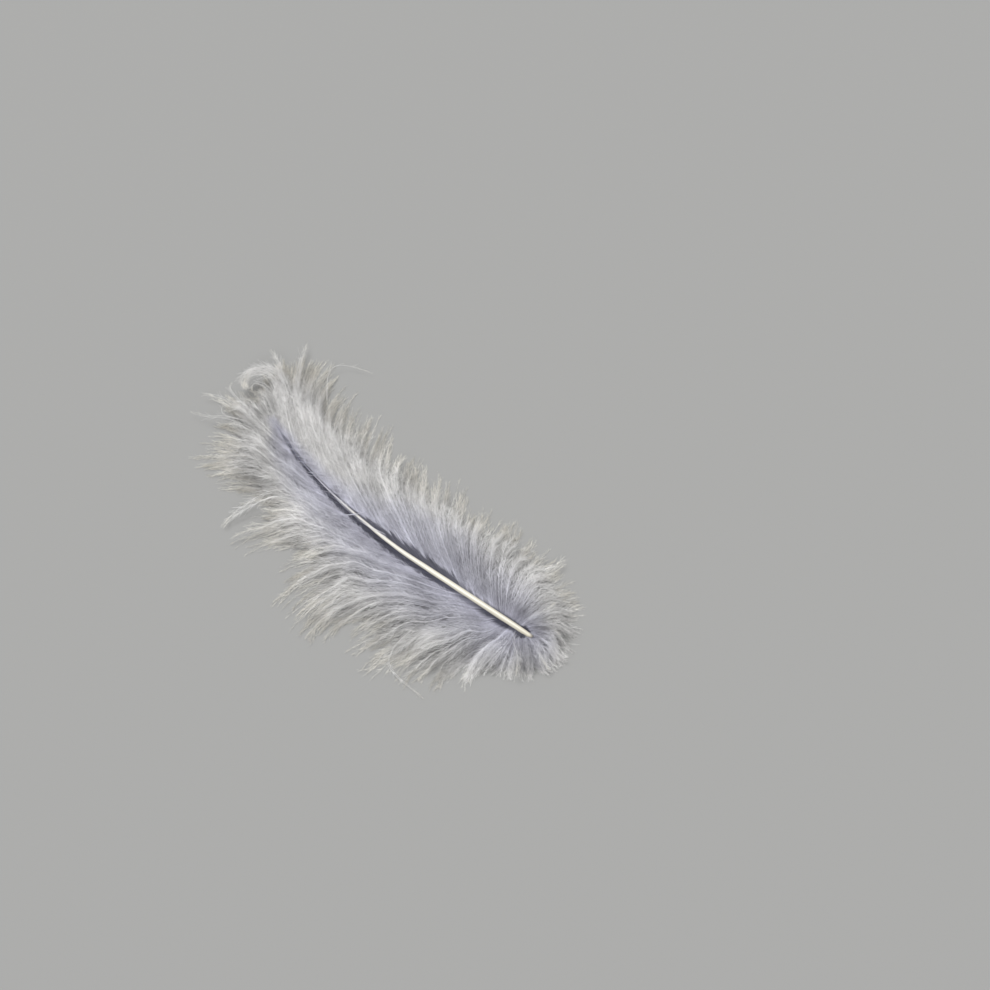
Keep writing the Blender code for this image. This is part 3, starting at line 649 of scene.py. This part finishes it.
class Barbules:
    """The fine filaments on the barbs, each a closed sliver of four triangles."""

    def __init__(self, barbs, patches):
        points = barbs.points
        steps = np.linalg.norm(np.diff(points, axis=1), axis=2)
        weight = steps * between(BARBULES_BY_REACH, barbs.reach[:, 1:]) * barbs.fluff[:, None]
        self.count = BARBULES_IN_ALL
        each = np.cumsum(weight.ravel())
        drawn = np.searchsorted(each, np.sort(RANDOM.uniform(0.0, each[-1], self.count)))
        barb, i = np.divmod(drawn, BARB_STEPS - 1)
        t = RANDOM.uniform(0.0, 1.0, self.count)

        def read(values):
            part = t.reshape((-1,) + (1,) * (values.ndim - 2))
            return values[barb, i] * (1 - part) + values[barb, i + 1] * part

        base, reach, distance, slot = (read(v) for v in (points, barbs.reach, barbs.distance, barbs.slot))
        stop, right = barbs.along[barb, i], barbs.right[barb, i]
        along = unit(points[barb, i + 1] - points[barb, i])
        across = unit(np.cross(along, (0.0, 0.0, 1.0)))
        up = np.cross(across, along)
        bare = distance < slot * RANDOM.uniform(*HANGS_WITHIN, self.count)
        way = np.where(RANDOM.uniform(size=self.count) < 0.5, 0.0, math.pi)
        way = way + RANDOM.normal(0.0, BARBULE_FAN, self.count)
        way = np.where(bare, -math.pi / 2 + RANDOM.normal(0.0, HANGS, self.count), way)
        angle = np.radians(between(BARBULE_ANGLE, reach) + RANDOM.normal(0.0, ANGLE_UNEVEN, self.count))
        sideways = across * (np.cos(way) * np.sin(angle))[:, None]
        heading = along * np.cos(angle)[:, None] + sideways + up * (np.sin(way) * np.sin(angle))[:, None]
        long = between(BARBULE_LENGTH, reach) * RANDOM.uniform(*BARBULE_UNEVEN, self.count)
        long = long * np.clip(steps.sum(1) / LONG_BARB, SHORT_BARBULE, 1.0)[barb]
        nearest = np.stack([shaft_centre(stop)[0], stop], 1)
        away = unit(base[:, :2] - nearest)
        inward = -(heading[:, :2] * away).sum(1) * long
        into_slot = ~bare & (inward > 0) & (
            distance - inward < slot * RANDOM.uniform(*TURNS_WITHIN, self.count))
        heading = np.where(into_slot[:, None], heading - 2 * sideways, heading)
        tip = base + heading * long[:, None]
        tip[:, 2] = np.maximum(tip[:, 2], LOWEST * 0.5)
        first = unit(np.cross(heading, RANDOM.normal(size=base.shape)))
        second = np.cross(heading, first)
        half = between(BARBULE_WIDTH, reach)[:, None] / 2
        self.corners = np.stack([base - first * half, base + first * half,
                                 tip - second * half * BARBULE_TIP_SHARE,
                                 tip + second * half * BARBULE_TIP_SHARE], 1)
        tip_distance = np.maximum(distance + (heading[:, :2] * away).sum(1) * long, 0.0)
        warm = reach * barbs.warmth[barb]
        u0 = map_place(distance, stop, right, slot, warm)
        u1 = map_place(tip_distance, stop, right, slot, warm)
        u1 = np.where(np.abs(u1 - u0) < MAP_LENGTH, u0 + MAP_LENGTH, u1)
        # the down's own tone, and painted light and shade by place
        tone = barbs.tone[barb] + PATCHES * patches.at(base[:, :2]) + tone_and_painted_shading(base)
        tone = np.clip(tone + RANDOM.normal(0.0, BARBULE_TONE, self.count), *BARBULE_TONES)
        corners = ((u0, -MAP_EDGE), (u0, MAP_EDGE), (u1, -MAP_EDGE), (u1, MAP_EDGE))
        self.places = np.stack([np.stack([u, tone + v], 1) for u, v in corners], 1).clip(*UV_RANGE)
        self.right = base[:, 0] > nearest[:, 0]
        self.y = base[:, 1]


# ---- Materials ----------------------------------------------------------------------------------------


def srgb(r, g, b):
    """A colour given as 0 to 255, as linear light with an alpha of 1."""
    linear = [((c / 255 + 0.055) / 1.055)**2.4 if c > 10 else c / 255 / 12.92 for c in (r, g, b)]
    return (*linear, 1.0)


# The down's colours along the map's U at the darkest and the lightest tone: their first two stops are the
# slot's painted shade.
DARK_DOWN = (
    (0.0, srgb(34, 34, 42)), (0.085, srgb(44, 44, 54)), (0.125, srgb(130, 129, 141)),
    (0.32, srgb(161, 160, 167)), (0.50, srgb(172, 171, 170)), (1.0, srgb(167, 163, 154)),
)
LIGHT_DOWN = (
    (0.0, srgb(84, 84, 98)), (0.085, srgb(104, 104, 118)), (0.125, srgb(217, 217, 229)),
    (0.32, srgb(234, 234, 240)), (0.50, srgb(247, 246, 245)), (1.0, srgb(244, 241, 233)),
)
PLAIN_DOWN = srgb(196, 196, 202)
# Along the shaft: its dark cut end, cream, greyer where it thins, slate, and at last the down's grey.
KERATIN = (
    (0.0, srgb(96, 92, 86)), (0.009, srgb(136, 132, 124)), (0.014, srgb(200, 194, 176)),
    (0.06, srgb(206, 201, 184)), (0.30, srgb(209, 205, 190)), (0.55, srgb(203, 200, 191)),
    (0.62, srgb(186, 184, 182)), (0.70, srgb(172, 172, 180)), (0.82, srgb(104, 104, 124)),
    (0.93, srgb(80, 80, 98)), (0.97, srgb(140, 140, 152)), (1.0, srgb(176, 176, 184)),
)
PLAIN_KERATIN = srgb(230, 225, 208)


def ramp(tree, stops):
    """A colour ramp with the given stops."""
    node = tree.nodes.new("ShaderNodeValToRGB")
    node.color_ramp.interpolation = "LINEAR"
    elements = node.color_ramp.elements
    while len(elements) < len(stops):
        elements.new(0.5)
    for element, (place, colour) in zip(elements, stops):
        element.position = place
        element.color = colour
    return node


def down_material(name):
    """Down: its colour runs from the shaft outwards along the map's U, from the slot's painted shade, and
    from dark to light along V, which holds painted light and shade as well as the down's own tone.
    """
    made = bpy.data.materials.new(name)
    made.use_nodes = True
    tree = made.node_tree
    shader = tree.nodes["Principled BSDF"]
    shader.inputs["Base Color"].default_value = PLAIN_DOWN
    shader.inputs["Roughness"].default_value = 0.85
    shader.inputs["Specular IOR Level"].default_value = 0.25
    shader.inputs["Sheen Weight"].default_value = 0.15
    uv = tree.nodes.new("ShaderNodeUVMap")
    uv.uv_map = BAKE_MAP
    split = tree.nodes.new("ShaderNodeSeparateXYZ")
    tree.links.new(uv.outputs["UV"], split.inputs[0])
    dark, light = ramp(tree, DARK_DOWN), ramp(tree, LIGHT_DOWN)
    mix = tree.nodes.new("ShaderNodeMix")
    mix.data_type = "RGBA"
    for node in (dark, light):
        tree.links.new(split.outputs["X"], node.inputs["Fac"])
    tree.links.new(split.outputs["Y"], mix.inputs["Factor"])
    tree.links.new(dark.outputs["Color"], mix.inputs["A"])
    tree.links.new(light.outputs["Color"], mix.inputs["B"])
    tree.links.new(mix.outputs["Result"], shader.inputs["Base Color"])
    return made


def keratin_material():
    """The shaft's keratin, coloured along its length, with a fine grain."""
    made = bpy.data.materials.new("keratin")
    made.use_nodes = True
    tree = made.node_tree
    shader = tree.nodes["Principled BSDF"]
    shader.inputs["Base Color"].default_value = PLAIN_KERATIN
    shader.inputs["Roughness"].default_value = 0.32
    shader.inputs["Coat Weight"].default_value = 0.25
    shader.inputs["Coat Roughness"].default_value = 0.25
    uv = tree.nodes.new("ShaderNodeUVMap")
    uv.uv_map = BAKE_MAP
    split = tree.nodes.new("ShaderNodeSeparateXYZ")
    tree.links.new(uv.outputs["UV"], split.inputs[0])
    colour = ramp(tree, KERATIN)
    tree.links.new(split.outputs["X"], colour.inputs["Fac"])
    stretch = tree.nodes.new("ShaderNodeMapping")
    stretch.inputs["Scale"].default_value = (14.0, 9.0, 1.0)
    tree.links.new(uv.outputs["UV"], stretch.inputs["Vector"])
    grain = tree.nodes.new("ShaderNodeTexNoise")
    grain.inputs["Scale"].default_value = 3.0
    grain.inputs["Detail"].default_value = 6.0
    tree.links.new(stretch.outputs["Vector"], grain.inputs["Vector"])
    strength = tree.nodes.new("ShaderNodeMapRange")
    strength.inputs["To Min"].default_value = 0.86
    strength.inputs["To Max"].default_value = 1.06
    tree.links.new(grain.outputs["Fac"], strength.inputs["Value"])
    mix = tree.nodes.new("ShaderNodeMix")
    mix.data_type = "RGBA"
    mix.blend_type = "MULTIPLY"
    mix.inputs["Factor"].default_value = 1.0
    tree.links.new(colour.outputs["Color"], mix.inputs["A"])
    tree.links.new(strength.outputs["Result"], mix.inputs["B"])
    tree.links.new(mix.outputs["Result"], shader.inputs["Base Color"])
    bump = tree.nodes.new("ShaderNodeBump")
    bump.inputs["Strength"].default_value = 0.25
    bump.inputs["Distance"].default_value = 0.0001
    tree.links.new(grain.outputs["Fac"], bump.inputs["Height"])
    tree.links.new(bump.outputs["Normal"], shader.inputs["Normal"])
    return made


# ---- Pieces -------------------------------------------------------------------------------------------

QUILL_SIDES = 20
# Where the shaft has rings at its cut end, and from where on and how far apart it has more.
QUILL_CUT = (-0.9, -0.8, -0.6, -0.35, 0.0, 0.5)
QUILL_STEPS = (1.2, 1.0)
QUILL_HOLE = 0.12       # how deep the cut end is hollow
QUILL_TIP = 0.2         # how far the other end stands out
QUILL_ON_MAP = (0.99, 0.005)    # the share of the map it takes up, and the margin beside it
QUILL_GROOVE = 0.16     # how deep the groove along the top of the shaft is, as a share of its radius
GROOVE_WIDE = 0.42      # its half width (radians)
GROOVE_FROM = 6.0       # where it starts, and over what length it deepens
GROOVE_GROWS = 20.0


def quill_piece():
    """The shaft from its cut end to its bristle tip, with a shallow groove along its upper side."""
    first, apart = QUILL_STEPS
    stops = np.concatenate([QUILL_CUT, np.arange(first, SHAFT_END, apart), [SHAFT_END]])
    x, z = shaft_centre(stops)
    centre = np.stack([x, stops, z], 1)
    along = unit(np.gradient(centre, stops, axis=0))
    across = unit(np.cross(along, (0.0, 0.0, 1.0)))
    up = np.cross(across, along)
    radius = between(SHAFT_RADIUS, stops)
    turn = np.linspace(0, 2 * math.pi, QUILL_SIDES + 1)
    from_top = np.abs((turn - math.pi / 2 + math.pi) % (2 * math.pi) - math.pi)
    grows = ease((stops - GROOVE_FROM) / GROOVE_GROWS)[:, None]
    shape = 1.0 - QUILL_GROOVE * grows * np.exp(-(from_top / GROOVE_WIDE)**2)[None]
    ring = radius[:, None] * shape
    points = (centre[:, None] + across[:, None] * (ring * np.cos(turn))[..., None]
              + up[:, None] * (ring * np.sin(turn))[..., None])
    u = (stops[:, None] - stops[0]) / (SHAFT_END - stops[0])
    v = turn[None] / (2 * math.pi)
    takes, margin = QUILL_ON_MAP
    places = np.stack([np.broadcast_to(u, ring.shape), np.broadcast_to(v, ring.shape)], 2) * takes + margin
    steps, sides = len(stops), QUILL_SIDES
    # The ring's last point repeats its first, for the map; the mesh shares one vertex and not both.
    vertices = points[:, :sides].reshape(-1, 3)
    triangles, corners = [], []
    for s in range(steps - 1):
        for k in range(sides):
            n = (k + 1) % sides
            a, b, c, d = s * sides + k, s * sides + n, (s + 1) * sides + n, (s + 1) * sides + k
            pa, pb, pc, pd = places[s, k], places[s, k + 1], places[s + 1, k + 1], places[s + 1, k]
            triangles += [(a, b, c), (a, c, d)]
            corners += [(pa, pb, pc), (pa, pc, pd)]
    ends = (centre[0] + along[0] * QUILL_HOLE, centre[-1] + along[-1] * QUILL_TIP)
    root_hole, bristle = len(vertices), len(vertices) + 1
    vertices = np.concatenate([vertices, np.stack(ends)])
    for k in range(sides):
        n = (k + 1) % sides
        triangles += [(n, k, root_hole), ((steps - 1) * sides + k, (steps - 1) * sides + n, bristle)]
        low, high = (np.array([end, (k + 0.5) / sides]) for end in UV_RANGE)
        corners += [(places[0, k + 1], places[0, k], low), (places[-1, k], places[-1, k + 1], high)]
    triangles, corners = np.array(triangles), np.array(corners)
    piece = mesh_piece("quill", vertices, triangles, np.zeros((len(vertices), 2)), keratin_material(), True)
    piece.data.uv_layers[BAKE_MAP].uv.foreach_set("vector", corners.astype(np.float32).ravel())
    return piece


def barb_piece(barbs, patches):
    """The barbs themselves, all in one mesh."""
    vertices, triangles = tubes(barbs.points, between(BARB_RADIUS, barbs.reach), BARB_SIDES)
    u = map_place(barbs.distance, barbs.along, barbs.right, barbs.slot, barbs.reach * barbs.warmth[:, None])
    v = barbs.tone[:, None] + BARBS_LIGHTER + PATCHES * patches.at(barbs.points[..., :2])
    # the down's own tone, and painted light and shade by place
    v = v + tone_and_painted_shading(barbs.points)
    across = np.tile((-MAP_EDGE, 0.0, MAP_EDGE), u.size)
    places = np.stack([np.repeat(u.ravel(), BARB_SIDES), np.repeat(v.ravel(), BARB_SIDES) + across], 1)
    return mesh_piece("barbs", vertices, triangles, places.clip(*UV_RANGE), down_material("barb"), False)


# The triangles of a barbule, as numbers of its corners.
SLIVER = np.array([[0, 1, 2], [1, 0, 3], [0, 2, 3], [1, 3, 2]])


def barbule_pieces(barbs, patches):
    """The barbules of each vane, in a piece for its base, its middle and its tip."""
    made = Barbules(barbs, patches)
    material = down_material("barbule")
    for word, vane in (("left", ~made.right), ("right", made.right)):
        cuts = np.quantile(made.y[vane], (1 / 3, 2 / 3))
        part = np.searchsorted(cuts, made.y)
        for k, place in enumerate(("base", "middle", "tip")):
            chosen = vane & (part == k)
            triangles = (4 * np.arange(chosen.sum())[:, None, None] + SLIVER).reshape(-1, 3)
            yield mesh_piece(f"down_{word}_{place}", made.corners[chosen].reshape(-1, 3), triangles,
                             made.places[chosen].reshape(-1, 2), material, False)


# ---- Floor, light and camera --------------------------------------------------------------------------

CAMERA_AT = (37.8, -15.0)       # the point of the floor that the camera looks at, in the part's frame
CAMERA_AWAY = 495.0
CAMERA_TURN = -40.0             # degrees round the feather
CAMERA_DOWN = 55.0              # degrees below level
LENS = 60.0
FLOOR_WIDE = 12.0               # metres
FLOOR_COLOUR = (0.28, 0.28, 0.275, 1.0)
# From where a light shines, how wide it looks from the floor (degrees), and how strong it is.
KEY_LIGHT = ((0.02, 0.50, 1.10), 28.0, 2.50)
FILL_LIGHT = ((-0.62, -0.62, 0.85), 36.0, 1.40)
SKY_STRENGTH = 0.43


def add_camera():
    """The camera, high up in front of the quill end and to its left."""
    turn, down = math.radians(CAMERA_TURN), math.radians(CAMERA_DOWN)
    aim = Vector((*CAMERA_AT, 0.0)) * MM
    back = Vector((math.sin(turn) * math.cos(down), -math.cos(turn) * math.cos(down), math.sin(down)))
    data = bpy.data.cameras.new("camera")
    data.lens = LENS
    data.sensor_width = 36.0
    data.clip_start = 0.01
    data.clip_end = 10.0
    camera = bpy.data.objects.new("camera", data)
    camera.location = aim + back * CAMERA_AWAY * MM
    camera.rotation_euler = (-back).to_track_quat("-Z", "Y").to_euler()
    bpy.context.scene.collection.objects.link(camera)
    bpy.context.scene.camera = camera


def add_light(name, place, wide, strength):
    """A light as from a wide round lamp far away, so that it's even over the whole floor."""
    data = bpy.data.lights.new(name, "SUN")
    data.angle = math.radians(wide)
    data.energy = strength
    light = bpy.data.objects.new(name, data)
    light.location = place
    light.rotation_euler = (-Vector(place)).to_track_quat("-Z", "Y").to_euler()
    bpy.context.scene.collection.objects.link(light)


def add_surroundings():
    """A pale floor, a large soft light high up behind the tip, a weaker one in front, and a grey sky."""
    bpy.ops.mesh.primitive_plane_add(size=FLOOR_WIDE, location=(0.0, 0.0, -0.0001))
    floor = bpy.context.object
    floor.name = "floor"
    made = bpy.data.materials.new("floor")
    made.use_nodes = True
    shader = made.node_tree.nodes["Principled BSDF"]
    shader.inputs["Base Color"].default_value = FLOOR_COLOUR
    shader.inputs["Roughness"].default_value = 0.9
    shader.inputs["Specular IOR Level"].default_value = 0.2
    floor.data.materials.append(made)
    add_light("key", *KEY_LIGHT)
    add_light("fill", *FILL_LIGHT)
    world = bpy.data.worlds.new("studio")
    world.use_nodes = True
    world.node_tree.nodes["Background"].inputs["Color"].default_value = (1.0, 1.0, 1.0, 1.0)
    world.node_tree.nodes["Background"].inputs["Strength"].default_value = SKY_STRENGTH
    bpy.context.scene.world = world
    bpy.context.scene.view_settings.view_transform = "Standard"


add_camera()
add_surroundings()

barbs = Barbs(Locks(), Swell(SWELL_PITCH))
patches = Swell(PATCH_PITCH)

quill = quill_piece()
down = [barb_piece(barbs, patches), *barbule_pieces(barbs, patches)]
for piece in (quill, *down):
    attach(piece, "root")
    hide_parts("feather")
